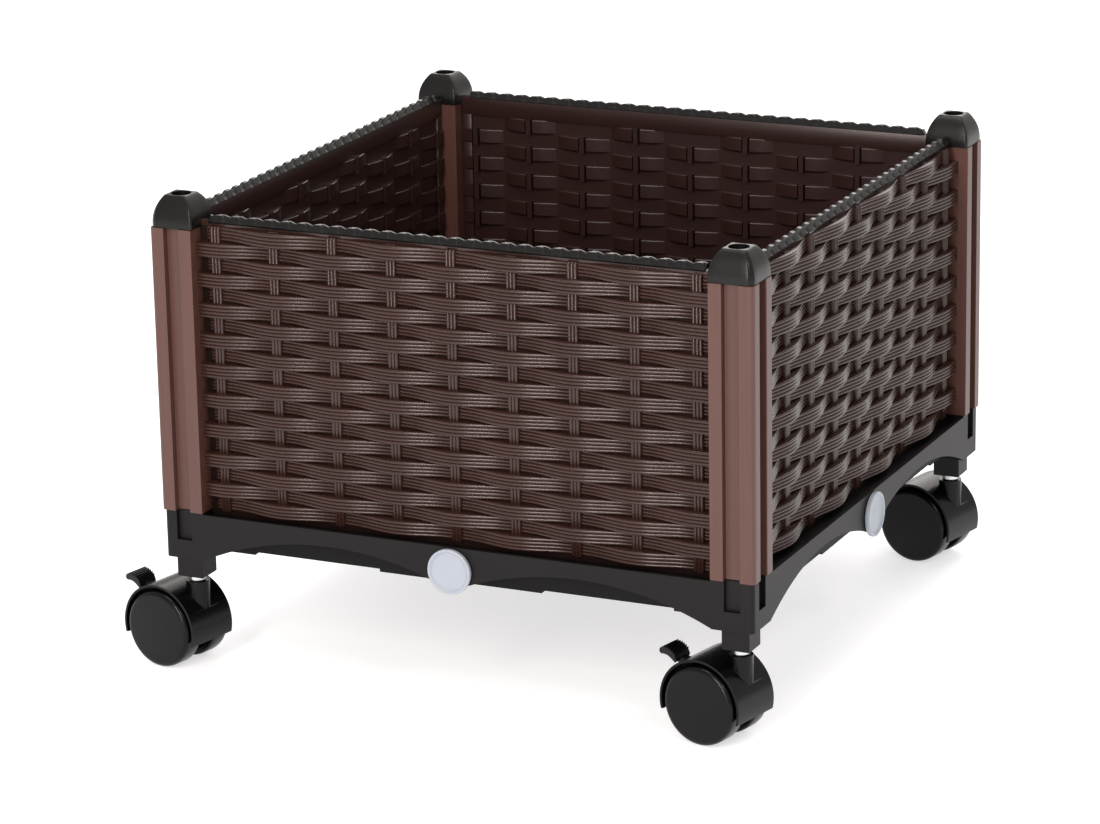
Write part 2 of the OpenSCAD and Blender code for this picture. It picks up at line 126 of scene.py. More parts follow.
def makeLight(name, place, size, power, tint):
    data = bpy.data.lights.new(name, "AREA")
    data.shape, data.energy = "RECTANGLE", power
    data.size, data.size_y = size
    data.color = hexColour(tint)[:3]
    obj = bpy.data.objects.new(name, data)
    obj.location = place
    aim = Vector(studio["aim"]) - Vector(place)
    obj.rotation_euler = aim.to_track_quat("-Z", "Y").to_euler()
    bpy.context.scene.collection.objects.link(obj)


def makeStudio():
    bpy.context.scene.view_settings.view_transform = "Standard"    # white stays white
    world = bpy.data.worlds.new("studio")
    bpy.context.scene.world = world
    world.use_nodes = True
    sky = world.node_tree.nodes["Background"]
    sky.inputs["Color"].default_value = hexColour(studio["sky"])
    sky.inputs["Strength"].default_value = studio["skyStrength"]
    for name, values in studio["lights"].items():
        makeLight(name + "Light", *values)
    side = studio["floorSize"] / 2
    mesh = bpy.data.meshes.new("floor")
    mesh.from_pydata([(-side, -side, 0), (side, -side, 0), (side, side, 0), (-side, side, 0)],
                     [], [(0, 1, 2, 3)])
    floor = bpy.data.objects.new("floor", mesh)
    floor.location.z = -studio["floorDrop"] * mm
    paint = bpy.data.materials.new("paperFloor")
    paint.use_nodes = True
    shader = paint.node_tree.nodes["Principled BSDF"]
    shader.inputs["Base Color"].default_value = hexColour(studio["floor"])
    shader.inputs["Roughness"].default_value = studio["floorRoughness"]
    shader.inputs["Emission Color"].default_value = (1, 1, 1, 1)
    shader.inputs["Emission Strength"].default_value = studio["floorGlow"]
    mesh.materials.append(paint)
    bpy.context.scene.collection.objects.link(floor)


makeCamera()
makeStudio()
print("camera and studio made")


# Materials

def newMaterial(name, build):
    paint = bpy.data.materials.new(name)
    paint.use_nodes = True
    build(paint.node_tree, paint.node_tree.nodes["Principled BSDF"])
    return paint


def speckled(tree, shader, colours, patch, grain, rough, depth, gloss, squash=(1, 1, 1)):
    # Two close colours that drift over patches, and a grain that stirs roughness and surface.
    # Patch, grain and depth are in mm
    place = addNode(tree, "ShaderNodeTexCoord").outputs["Object"]
    laid = addNode(tree, "ShaderNodeMapping", {"Vector": place, "Scale": squash})
    drift = addNode(tree, "ShaderNodeTexNoise", {"Vector": laid, "Scale": 1 / (patch * mm),
                    "Detail": 2.0})
    fine = addNode(tree, "ShaderNodeTexNoise", {"Vector": laid, "Scale": 1 / (grain * mm),
                   "Detail": 3.0})
    colour = addNode(tree, "ShaderNodeMix", {"Factor": drift.outputs[0], 6: hexColour(colours[0]),
                     7: hexColour(colours[1])}, data_type="RGBA")       # 6 and 7 are its colours
    spread = addNode(tree, "ShaderNodeMapRange", {"Value": fine.outputs[0], "From Min": 0.3,
                     "From Max": 0.7, "To Min": rough[0], "To Max": rough[1]})
    bump = addNode(tree, "ShaderNodeBump", {"Height": fine.outputs[0], "Strength": 1.0,
                   "Distance": depth * mm})
    tree.links.new(colour.outputs[2], shader.inputs["Base Color"])
    tree.links.new(spread.outputs[0], shader.inputs["Roughness"])
    tree.links.new(bump.outputs[0], shader.inputs["Normal"])
    shader.inputs["IOR"].default_value = 1.5
    shader.inputs["Specular IOR Level"].default_value = gloss


def mouldedBrown(tree, shader):
    # Injection-moulded polypropylene, coloured through: a very dark brown that looks lighter where
    # its glossy ribs catch the studio, with a slight drift of colour from its flow in the mould
    speckled(tree, shader, ("#291813", "#34201a"), 60, 0.8, (0.22, 0.31), 0.003, 0.43)


def webShadeBrown(tree, shader):
    # The same plastic between the bands, made near-black and almost without gloss as painted shade
    # on the sheet in the recesses, the end gaps and the strip below the weave
    speckled(tree, shader, ("#140c0a", "#1b110e"), 60, 0.8, (0.5, 0.6), 0.01, 0.1)


def liningBrown(tree, shader):
    # The same plastic on the side that faces the soil: darker, since little light gets in there
    speckled(tree, shader, ("#241513", "#2d1c19"), 60, 0.8, (0.3, 0.4), 0.006, 0.4)


def extrudedBrown(tree, shader):
    # Extruded rigid vinyl: half matt, with fine lines that the die draws along its length
    speckled(tree, shader, ("#462c25", "#54372f"), 1.2, 0.9, (0.36, 0.44), 0.01, 0.45,
             (1, 1, 0.01))


def mouldedBlack(tree, shader):
    # Injection-moulded black polypropylene of trims, caps and pedals: satin, with the fine grain
    # of a spark-eroded mould
    speckled(tree, shader, ("#090a0a", "#0e0f0e"), 40, 0.7, (0.26, 0.36), 0.01, 0.27)


def trayBlack(tree, shader):
    # The same plastic with the coarser spark-eroded grain of the tray and legs: duller than caps
    speckled(tree, shader, ("#0a0a0a", "#100f0f"), 40, 0.9, (0.42, 0.52), 0.015, 0.2)


def wallShadeBlack(tree, shader):
    # The tray's own walls behind the skirt's arches: darker and duller than the tray, as painted
    # shade from the skirt in front of them
    speckled(tree, shader, ("#080808", "#0c0c0c"), 40, 0.7, (0.5, 0.6), 0.01, 0.14)


def mouldedNylon(tree, shader):
    # Glass-filled nylon of hoods and wheels: deep black with a soft sheen
    speckled(tree, shader, ("#040405", "#070708"), 25, 0.6, (0.2, 0.3), 0.008, 0.19)


def mouldedWhite(tree, shader):
    # Low-density polyethylene of the drain plugs: bluish white, waxy, a little light gets through
    speckled(tree, shader, ("#939ba5", "#9ea6af"), 12, 1.0, (0.36, 0.46), 0.004, 0.5)
    shader.inputs["Subsurface Weight"].default_value = 0.2
    shader.inputs["Subsurface Radius"].default_value = (1.2 * mm, 1.4 * mm, 1.6 * mm)
    shader.inputs["Subsurface Scale"].default_value = 1.0


def platedSteel(tree, shader):
    # Zinc-plated turned steel: bright, with the faint rings of the lathe, 0.4 mm apart
    place = addNode(tree, "ShaderNodeTexCoord").outputs["Object"]
    turned = addNode(tree, "ShaderNodeMapping", {"Vector": place, "Scale": (0.02, 0.02, 1)})
    rings = addNode(tree, "ShaderNodeTexNoise", {"Vector": turned, "Scale": 1 / (0.4 * mm),
                    "Detail": 2.0})
    rough = addNode(tree, "ShaderNodeMapRange", {"Value": rings.outputs[0], "To Min": 0.16,
                    "To Max": 0.3})
    tree.links.new(rough.outputs[0], shader.inputs["Roughness"])
    shader.inputs["Base Color"].default_value = hexColour("#c9ccd0")
    shader.inputs["Metallic"].default_value = 1.0


weavePlastic = newMaterial("mouldedPolypropyleneBrown", mouldedBrown)
webShadePlastic = newMaterial("brownPaintedShade", webShadeBrown)
liningPlastic = newMaterial("mouldedPolypropyleneBrownInside", liningBrown)
postPlastic = newMaterial("extrudedVinylBrown", extrudedBrown)
blackPlastic = newMaterial("mouldedPolypropyleneBlack", mouldedBlack)
trayPlastic = newMaterial("grainedPolypropyleneBlack", trayBlack)
wallShadePlastic = newMaterial("blackPaintedShade", wallShadeBlack)
casterPlastic = newMaterial("mouldedNylonBlack", mouldedNylon)
plugPlastic = newMaterial("mouldedPolyethyleneWhite", mouldedWhite)
steel = newMaterial("platedSteel", platedSteel)
print("materials made")


# What every piece is made with

def turnedTo(i):
    return Matrix.Rotation(math.pi / 2 * i, 4, "Z")       # from the front to side or corner i


def atCaster(corner):
    place = cornerPlaces[corner]
    return Matrix.Translation((place.x, place.y, 0)) @ Matrix.Rotation(heading, 4, "Z")


def paintMesh(mesh, paint):
    mesh.materials.clear()
    mesh.materials.append(paint)


def addPiece(name, mesh, paint, body, slot, *nodes, crease):
    mesh.shade_smooth()
    mesh.set_sharp_from_angle(angle=math.radians(crease))
    paintMesh(mesh, paint)
    obj = bpy.data.objects.new(name, mesh)
    bpy.context.scene.collection.objects.link(obj)
    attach(obj, body)
    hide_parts(*nodes)
    return obj


def meshFrom(bm, name, place=None):
    bmesh.ops.recalc_face_normals(bm, faces=bm.faces)
    mesh = bpy.data.meshes.new(name)
    bm.to_mesh(mesh)
    bm.free()
    if place is not None:
        mesh.transform(place)
    return mesh


def lathed(profile, steps):
    # A closed turned shape about +Z from (radius, height) points
    bm = bmesh.new()
    rings = []
    for radius, height in profile:
        if radius < 1e-9:
            rings.append([bm.verts.new((0, 0, height))])
        else:
            rings.append([bm.verts.new((radius * math.cos(2 * math.pi * k / steps),
                                        radius * math.sin(2 * math.pi * k / steps), height))
                          for k in range(steps)])
    for a, b in zip(rings, rings[1:]):
        for k in range(steps):
            n = (k + 1) % steps
            corners = [a[k % len(a)], a[n % len(a)], b[n % len(b)], b[k % len(b)]]
            corners = [v for j, v in enumerate(corners) if v not in corners[:j]]
            if len(corners) > 2:
                bm.faces.new(corners)
    return bm


def boxMesh(low, high, bevel=0.0):
    bm = bmesh.new()
    bmesh.ops.create_cube(bm, size=1)
    for v in bm.verts:
        v.co = Vector([low[k] if v.co[k] < 0 else high[k] for k in range(3)])
    if bevel:
        bmesh.ops.bevel(bm, geom=bm.edges[:], offset=bevel, segments=2, affect="EDGES",
                        profile=0.5)
    return meshFrom(bm, "box")


def joined(meshes, name):
    bm = bmesh.new()
    for mesh in meshes:
        bm.from_mesh(mesh)
    whole = bpy.data.meshes.new(name)
    bm.to_mesh(whole)
    bm.free()
    return whole


# The kinds of node that the trees use most
calc, vector, mix = "ShaderNodeMath", "ShaderNodeCombineXYZ", "ShaderNodeMix"


def newTree(name, values):
    # Each value has an input of its own name
    tree = bpy.data.node_groups.new(name, "GeometryNodeTree")
    kinds = {int: "NodeSocketInt", float: "NodeSocketFloat"}
    for key, value in values.items():
        kind = kinds.get(type(value), "NodeSocketMaterial")
        tree.interface.new_socket(key, in_out="INPUT", socket_type=kind).default_value = value
    tree.interface.new_socket("Geometry", in_out="OUTPUT", socket_type="NodeSocketGeometry")
    return tree, tree.nodes.new("NodeGroupInput").outputs


def endTree(tree, geometry, out):
    real = addNode(tree, "GeometryNodeRealizeInstances", [geometry])
    painted = addNode(tree, "GeometryNodeSetMaterial", {"Geometry": real,
                      "Material": out["Material"]})
    addNode(tree, "NodeGroupOutput", [painted])
    return tree


def copiesAlong(tree, shape, count, start, step):
    line = addNode(tree, "GeometryNodeMeshLine", {"Count": count, "Start Location":
                   addNode(tree, vector, start), "Offset": addNode(tree, vector, step)})
    return addNode(tree, "GeometryNodeInstanceOnPoints", {"Points": line, "Instance": shape})


def evaluatedMesh(tree, name, values):
    # The plain mesh that a node tree makes from its named inputs
    holder = bpy.data.objects.new(name + "Holder", bpy.data.meshes.new(name + "Holder"))
    bpy.context.scene.collection.objects.link(holder)
    modifier = holder.modifiers.new(name, "NODES")
    modifier.node_group = tree
    sockets = {s.name: s.identifier for s in tree.interface.items_tree
               if s.item_type == "SOCKET" and s.in_out == "INPUT"}
    for key, value in values.items():
        modifier[sockets[key]] = value
    bpy.context.view_layer.update()
    graph = bpy.context.evaluated_depsgraph_get()
    mesh = bpy.data.meshes.new_from_object(holder.evaluated_get(graph))
    holder.modifiers.remove(modifier)
    bpy.data.objects.remove(holder)
    return mesh


# Woven-look panels, in mm

panel = {"halfWidth": 171.0, "sheet": 3.0, "above": 1.3,       # the weave ends above the posts
         "stakes": 9, "pitch": 40.0, "stakeWidth": 6.6, "stakeOut": 3.4, "stakeRibs": 3,
         "stakeRibHeight": 0.9, "stakeEnd": 1.2, "stakeEndDrop": 1.0,
         "bands": 19, "bandGap": 0.8, "bow": 7.0, "low": 1.0, "ribs": 4, "ribHeight": 0.95,
         "bandEnd": 6.3, "stepsAlong": 138, "sunk": 0.6,       # bands and stakes start in the sheet
         "blockWidth": 38.6, "blockHeight": 10.1, "blockOut": 3.6, "blockLeast": 0.3,
         "blockSunk": 0.8, "chamfer": 0.5, "under": 1.4, "grooveFloor": 2.6, "grooveTop": 2.9,
         "barWidth": 3.4, "barHigher": 0.9, "barDeeper": 2.0,
         "railHeight": 9.6, "railOut": 2.2, "sideRail": 7.0, "sideRailAt": 167.4,
         "marks": 4, "markRows": 5, "markRadius": 2.0, "markOut": 0.7}


def ribDip(tree, out, position, width):
    # How far round ribs, side by side over a width, lie below their crests
    up = addNode(tree, calc, [addNode(tree, calc, [position, width], operation="DIVIDE"), 0.5],
                 operation="ADD")
    share = addNode(tree, calc, [addNode(tree, calc, [up, out["Ribs"]], operation="MULTIPLY")],
                    operation="FRACT")
    across = addNode(tree, calc, [share, 2.0, -1.0], operation="MULTIPLY_ADD")
    square = addNode(tree, calc, [across, across], operation="MULTIPLY")
    inside = addNode(tree, calc, [1.0, square], operation="SUBTRACT", use_clamp=True)
    ring = addNode(tree, calc, [inside], operation="SQRT")
    return addNode(tree, calc, [addNode(tree, calc, [1.0, ring], operation="SUBTRACT"),
                                out["Rib height"]], operation="MULTIPLY")


def endLevels(tree, out, place, bevel):
    # Of a block's four rows of points, the outer two are its ends and the others a bevel away
    halfHeight = addNode(tree, calc, [out["Height"], 0.5], operation="MULTIPLY")
    far = addNode(tree, calc, [place[2]], operation="ABSOLUTE")
    isEnd = addNode(tree, calc, [far, addNode(tree, calc, [halfHeight, 0.9],
                                              operation="MULTIPLY")], operation="GREATER_THAN")
    near = addNode(tree, calc, [halfHeight, bevel], operation="SUBTRACT")
    level = addNode(tree, mix, {"Factor": isEnd, "A": near, "B": halfHeight})
    z = addNode(tree, calc, [level, addNode(tree, calc, [place[2]], operation="SIGN")],
                operation="MULTIPLY")
    return isEnd, z


def bandTree(values):
    tree, out = newTree("wovenBand", values)
    steps = addNode(tree, calc, [out["Ribs"], 5.0, 1.0], operation="MULTIPLY_ADD")  # five a rib
    size = addNode(tree, vector, [out["Length"], 2 * mm, out["Height"]])
    block = addNode(tree, "GeometryNodeMeshCube", {"Size": size, "Vertices X":
                    out["Steps along"], "Vertices Y": 2, "Vertices Z": steps})
    place = addNode(tree, "ShaderNodeSeparateXYZ",
                    [addNode(tree, "GeometryNodeInputPosition")]).outputs
    # How far along a bow: 0 at its crest, 1 where it goes behind a stake
    reach = addNode(tree, calc, [place[0]], operation="ABSOLUTE")
    kept = addNode(tree, calc, [reach, out["Last stake"]], operation="MINIMUM")
    shifted = addNode(tree, calc, [kept, out["Bow middle"]], operation="SUBTRACT")
    away = addNode(tree, calc, [shifted, out["Stake pitch"]], operation="PINGPONG")
    span = addNode(tree, calc, [out["Stake pitch"], out["Stake half"]], operation="SUBTRACT")
    u = addNode(tree, calc, [away, span], operation="DIVIDE", use_clamp=True)
    wave = addNode(tree, calc, [addNode(tree, calc, [u, math.pi], operation="MULTIPLY")],
                   operation="COSINE")
    crown = addNode(tree, calc, [wave, 0.5, 0.5], operation="MULTIPLY_ADD")
    rise = addNode(tree, calc, [out["Bow"], out["Low"]], operation="SUBTRACT")
    depth = addNode(tree, calc, [crown, rise, out["Low"]], operation="MULTIPLY_ADD")
    front = addNode(tree, calc, [ribDip(tree, out, place[2], out["Height"]), depth],
                    operation="SUBTRACT")
    isFront = addNode(tree, calc, [place[1], 0.0], operation="LESS_THAN")
    y = addNode(tree, mix, {"Factor": isFront, "A": out["Sunk"], "B": front})
    # The back has no ribs, so its points go to the band's two edges and are merged there
    edge = addNode(tree, calc, [addNode(tree, calc, [place[2]], operation="SIGN"),
                                addNode(tree, calc, [out["Height"], 0.5], operation="MULTIPLY")],
                   operation="MULTIPLY")
    z = addNode(tree, mix, {"Factor": isFront, "A": edge, "B": place[2]})
    shaped = addNode(tree, "GeometryNodeSetPosition", {"Geometry": block, "Position":
                     addNode(tree, vector, [place[0], y, z])})
    closed = addNode(tree, "GeometryNodeMergeByDistance", {"Geometry": shaped,
                     "Distance": 0.02 * mm})
    rows = copiesAlong(tree, closed, out["Rows"], [0.0, 0.0, out["First row"]],
                       [0.0, 0.0, out["Row pitch"]])
    return endTree(tree, rows, out)


def stakeTree(values):
    # Upright stakes with round ribs, side by side, their ends rounded off
    tree, out = newTree("ribbedStakes", values)
    steps = addNode(tree, calc, [out["Ribs"], 6.0, 1.0], operation="MULTIPLY_ADD")  # six a rib
    size = addNode(tree, vector, [out["Width"], 2 * mm, out["Height"]])
    block = addNode(tree, "GeometryNodeMeshCube", {"Size": size, "Vertices X": steps,
                    "Vertices Y": 2, "Vertices Z": 4})
    place = addNode(tree, "ShaderNodeSeparateXYZ",
                    [addNode(tree, "GeometryNodeInputPosition")]).outputs
    isEnd, z = endLevels(tree, out, place, out["End"])
    lowered = addNode(tree, calc, [isEnd, out["End drop"],
                                   ribDip(tree, out, place[0], out["Width"])],
                      operation="MULTIPLY_ADD")
    front = addNode(tree, calc, [lowered, out["Out"]], operation="SUBTRACT")
    isFront = addNode(tree, calc, [place[1], 0.0], operation="LESS_THAN")
    y = addNode(tree, mix, {"Factor": isFront, "A": out["Sunk"], "B": front})
    shaped = addNode(tree, "GeometryNodeSetPosition", {"Geometry": block, "Position":
                     addNode(tree, vector, [place[0], y, z])})
    row = copiesAlong(tree, shaped, out["Count"], [out["First"], 0.0, out["Level"]],
                      [out["Pitch"], 0.0, 0.0])
    return endTree(tree, row, out)


def blockTree(values):
    # Inner side of the bands that pass behind a stake: bowed blocks with a bar down the middle
    tree, out = newTree("innerBlocks", values)
    size = addNode(tree, vector, [out["Width"], 2 * mm, out["Height"]])
    block = addNode(tree, "GeometryNodeMeshCube", {"Size": size, "Vertices X": 17,
                    "Vertices Y": 2, "Vertices Z": 4})
    place = addNode(tree, "ShaderNodeSeparateXYZ",
                    [addNode(tree, "GeometryNodeInputPosition")]).outputs
    t = addNode(tree, calc, [addNode(tree, calc, [place[0], out["Width"]], operation="DIVIDE"),
                             2.0], operation="MULTIPLY")
    bent = addNode(tree, calc, [1.0, addNode(tree, calc, [t, t], operation="MULTIPLY")],
                   operation="SUBTRACT", use_clamp=True)
    bow = addNode(tree, calc, [bent, out["Out"], out["Least"]], operation="MULTIPLY_ADD")
    isLow = addNode(tree, calc, [place[2], 0.0], operation="LESS_THAN")
    bevel = addNode(tree, mix, {"Factor": isLow, "A": out["Chamfer"], "B": out["Under"]})
    isEnd, z = endLevels(tree, out, place, bevel)
    cut = addNode(tree, calc, [isEnd, bevel], operation="MULTIPLY")
    face = addNode(tree, calc, [bow, cut], operation="SUBTRACT")
    isFace = addNode(tree, calc, [place[1], 0.0], operation="GREATER_THAN")
    # A groove on both sides of the bar: the points next to the middle become its floor, up to
    # 3 mm, and its walls, up to 5.5 mm
    aside = addNode(tree, calc, [place[0]], operation="ABSOLUTE")
    inGroove = addNode(tree, calc, [aside, 3 * mm], operation="LESS_THAN")
    nearGroove = addNode(tree, calc, [aside, 5.5 * mm], operation="LESS_THAN")
    wall = addNode(tree, mix, {"Factor": inGroove, "A": out["Groove top"],
                               "B": out["Groove floor"]})
    aimed = addNode(tree, mix, {"Factor": nearGroove, "A": aside, "B": wall})
    x = addNode(tree, calc, [aimed, addNode(tree, calc, [place[0]], operation="SIGN")],
                operation="MULTIPLY")
    cutFace = addNode(tree, mix, {"Factor": inGroove, "A": face, "B": out["Least"]})
    behind = addNode(tree, calc, [out["Sunk"], -1.0], operation="MULTIPLY")
    y = addNode(tree, mix, {"Factor": isFace, "A": behind, "B": cutFace})
    shaped = addNode(tree, "GeometryNodeSetPosition", {"Geometry": block, "Position":
                     addNode(tree, vector, [x, y, z])})
    # The bar, a little taller and prouder than the block
    barHeight = addNode(tree, calc, [out["Height"], out["Bar higher"]], operation="ADD")
    barOut = addNode(tree, calc, [out["Out"], 2.0, out["Bar deeper"]], operation="MULTIPLY_ADD")
    bar = addNode(tree, "GeometryNodeMeshCube", {"Size":
                  addNode(tree, vector, [out["Bar"], barOut, barHeight])})
    both = addNode(tree, "GeometryNodeJoinGeometry", [bar])
    tree.links.new(shaped.outputs[0], both.inputs[0])
    row = copiesAlong(tree, both, out["Count"], [out["First"], 0.0, out["Level"]],
                      [out["Pitch"], 0.0, 0.0])
    rows = copiesAlong(tree, row, out["Rows"], [0.0, 0.0, 0.0], [0.0, 0.0, out["Row pitch"]])
    return endTree(tree, rows, out)


def markTree(values):
    # Small round marks of the ejector pins, between the blocks
    tree, out = newTree("ejectorMarks", values)
    depth = addNode(tree, calc, [out["Out"], 2.0], operation="MULTIPLY")
    disc = addNode(tree, "GeometryNodeMeshCylinder", {"Vertices": 20, "Radius": out["Radius"],
                   "Depth": depth})
    laid = addNode(tree, "GeometryNodeTransform", {"Geometry": disc,
                   "Rotation": (math.pi / 2, 0, 0)})
    row = copiesAlong(tree, laid, out["Count"], [out["First"], 0.0, out["Level"]],
                      [out["Pitch"], 0.0, 0.0])
    rows = copiesAlong(tree, row, out["Rows"], [0.0, 0.0, 0.0], [0.0, 0.0, out["Row pitch"]])
    return endTree(tree, rows, out)


def makePanels():
    p = panel
    sheetFace = -half - p["sheet"] * mm / 2        # outer face of the sheet
    inner = -half + p["sheet"] * mm / 2
    edge = p["halfWidth"] * mm
    weaveLow, weaveHigh = postZ, capZ + p["above"] * mm
    pitch = (weaveHigh - weaveLow) / p["bands"]
    stakePitch = p["pitch"] * mm
    last = stakePitch * (p["stakes"] - 1) / 2
    # Bands of even number pass behind the stakes 0, 2, 4... and those of odd number behind 1, 3...
    even = {"Length": 2 * (last + p["bandEnd"] * mm), "Height": pitch - p["bandGap"] * mm,
            "Rows": (p["bands"] + 1) // 2, "Row pitch": 2 * pitch,
            "First row": weaveLow + pitch / 2, "Bow middle": stakePitch,
            "Stake pitch": stakePitch, "Last stake": last, "Stake half": p["stakeWidth"] / 2 * mm,
            "Bow": p["bow"] * mm, "Low": p["low"] * mm, "Ribs": p["ribs"],
            "Rib height": p["ribHeight"] * mm, "Sunk": p["sunk"] * mm,
            "Steps along": p["stepsAlong"], "Material": weavePlastic}
    odd = {**even, "Length": 2 * edge, "Rows": p["bands"] // 2,
           "First row": weaveLow + 1.5 * pitch, "Bow middle": 0.0}
    bands = bandTree(even)
    upright = {"Width": p["stakeWidth"] * mm, "Height": weaveHigh - weaveLow,
               "Out": p["stakeOut"] * mm, "Sunk": p["sunk"] * mm, "Ribs": p["stakeRibs"],
               "Rib height": p["stakeRibHeight"] * mm, "End": p["stakeEnd"] * mm,
               "End drop": p["stakeEndDrop"] * mm, "Count": p["stakes"], "Pitch": stakePitch,
               "First": -last, "Level": (weaveLow + weaveHigh) / 2, "Material": weavePlastic}
    woven = [evaluatedMesh(bands, "evenBands", even), evaluatedMesh(bands, "oddBands", odd),
             evaluatedMesh(stakeTree(upright), "stakes", upright)]
    for mesh in woven:
        mesh.transform(Matrix.Translation((0, sheetFace, 0)))
    # The boxes differ by tenths of a millimetre so that no two of their faces lie in one plane
    sheet = boxMesh((-edge, sheetFace, panelLow.z), (edge, inner, panelHigh.z), 0.5 * mm)
    tongue = boxMesh((panelLow.x, sheetFace + 0.1 * mm, postZ + 0.2 * mm),
                     (panelHigh.x, inner - 0.1 * mm, capZ - 0.2 * mm))
    lip = boxMesh((-edge, sheetFace - 0.3 * mm, weaveHigh - 0.5 * mm),
                  (edge, inner - 0.2 * mm, panelHigh.z + 0.1 * mm), 0.3 * mm)
    outside = joined(woven + [lip], "panelOutside")
    # The sheet and its tongue take the near-black brown: painted shade between and below the bands
    web = joined([sheet, tongue], "panelWeb")
    phases = [{"Width": p["blockWidth"] * mm, "Height": p["blockHeight"] * mm,
               "Out": p["blockOut"] * mm, "Least": p["blockLeast"] * mm,
               "Sunk": p["blockSunk"] * mm, "Chamfer": p["chamfer"] * mm,
               "Under": p["under"] * mm, "Groove floor": p["grooveFloor"] * mm,
               "Groove top": p["grooveTop"] * mm, "Bar": p["barWidth"] * mm,
               "Bar higher": p["barHigher"] * mm, "Bar deeper": p["barDeeper"] * mm,
               "Count": (p["stakes"] + 1 - phase) // 2, "Pitch": 2 * stakePitch,
               "Rows": p["bands"] // 2, "Row pitch": 2 * pitch,
               "First": -last + phase * stakePitch, "Level": weaveLow + (0.5 + phase) * pitch,
               "Material": liningPlastic} for phase in (0, 1)]
    blocks = blockTree(phases[0])
    marks = {"Radius": p["markRadius"] * mm, "Out": p["markOut"] * mm, "Count": p["marks"],
             "Pitch": 2 * stakePitch, "Rows": p["markRows"], "Row pitch": 4 * pitch,
             "First": -last + stakePitch, "Level": weaveLow + 1.5 * pitch,
             "Material": liningPlastic}
    inside = [evaluatedMesh(blocks, "blocks", values) for values in phases]
    inside.append(evaluatedMesh(markTree(marks), "marks", marks))
    for mesh in inside:
        mesh.transform(Matrix.Translation((0, inner, 0)))
    back = boxMesh((-edge, inner - 0.4 * mm, panelLow.z + 0.4 * mm),
                   (edge, inner + 0.2 * mm, panelHigh.z - 0.3 * mm))
    railZ, railY = weaveHigh - p["railHeight"] * mm, inner + p["railOut"] * mm
    rail = boxMesh((-edge, inner - 0.5 * mm, railZ), (edge, railY, panelHigh.z - 0.4 * mm),
                   0.5 * mm)
    wide, aside = p["sideRail"] * mm / 2, p["sideRailAt"] * mm
    sideRails = [boxMesh((x - wide, inner - 0.5 * mm, panelLow.z + 0.5 * mm),
                         (x + wide, railY, railZ + mm), 0.5 * mm) for x in (-aside, aside)]
    lining = joined(inside + [back, rail] + sideRails, "panelInside")
    for i, side in enumerate(sideNames):
        for part, mesh, paint, crease in (("weave", outside, weavePlastic, 50),
                                          ("web", web, webShadePlastic, 30),
                                          ("lining", lining, liningPlastic, 25)):
            own = mesh.copy()
            own.transform(turnedTo(i))
            addPiece(part + "_" + side, own, paint, "planter", "weave_brown", "panel_" + side,
                     crease=crease)


makePanels()
print("panels made")


# Rope-look trims, in mm, with shares of a hump's pitch

# The front edge rises, stays flat and falls, and the back edge does the same seen from the back.
# The notches cross the ridge aslant, like the strands of a rope
trim = {"humps": 29, "low": 1.2, "half": 4.0, "height": 5.0, "notch": 2.3, "cut": 1.8,
        "foot": 1.2, "lean": 2.4, "edge": 0.8, "dip": 1.0,
        "rise": 8 / 18, "fall": 4 / 18, "middle": 5 / 18, "shift": 6 / 18}


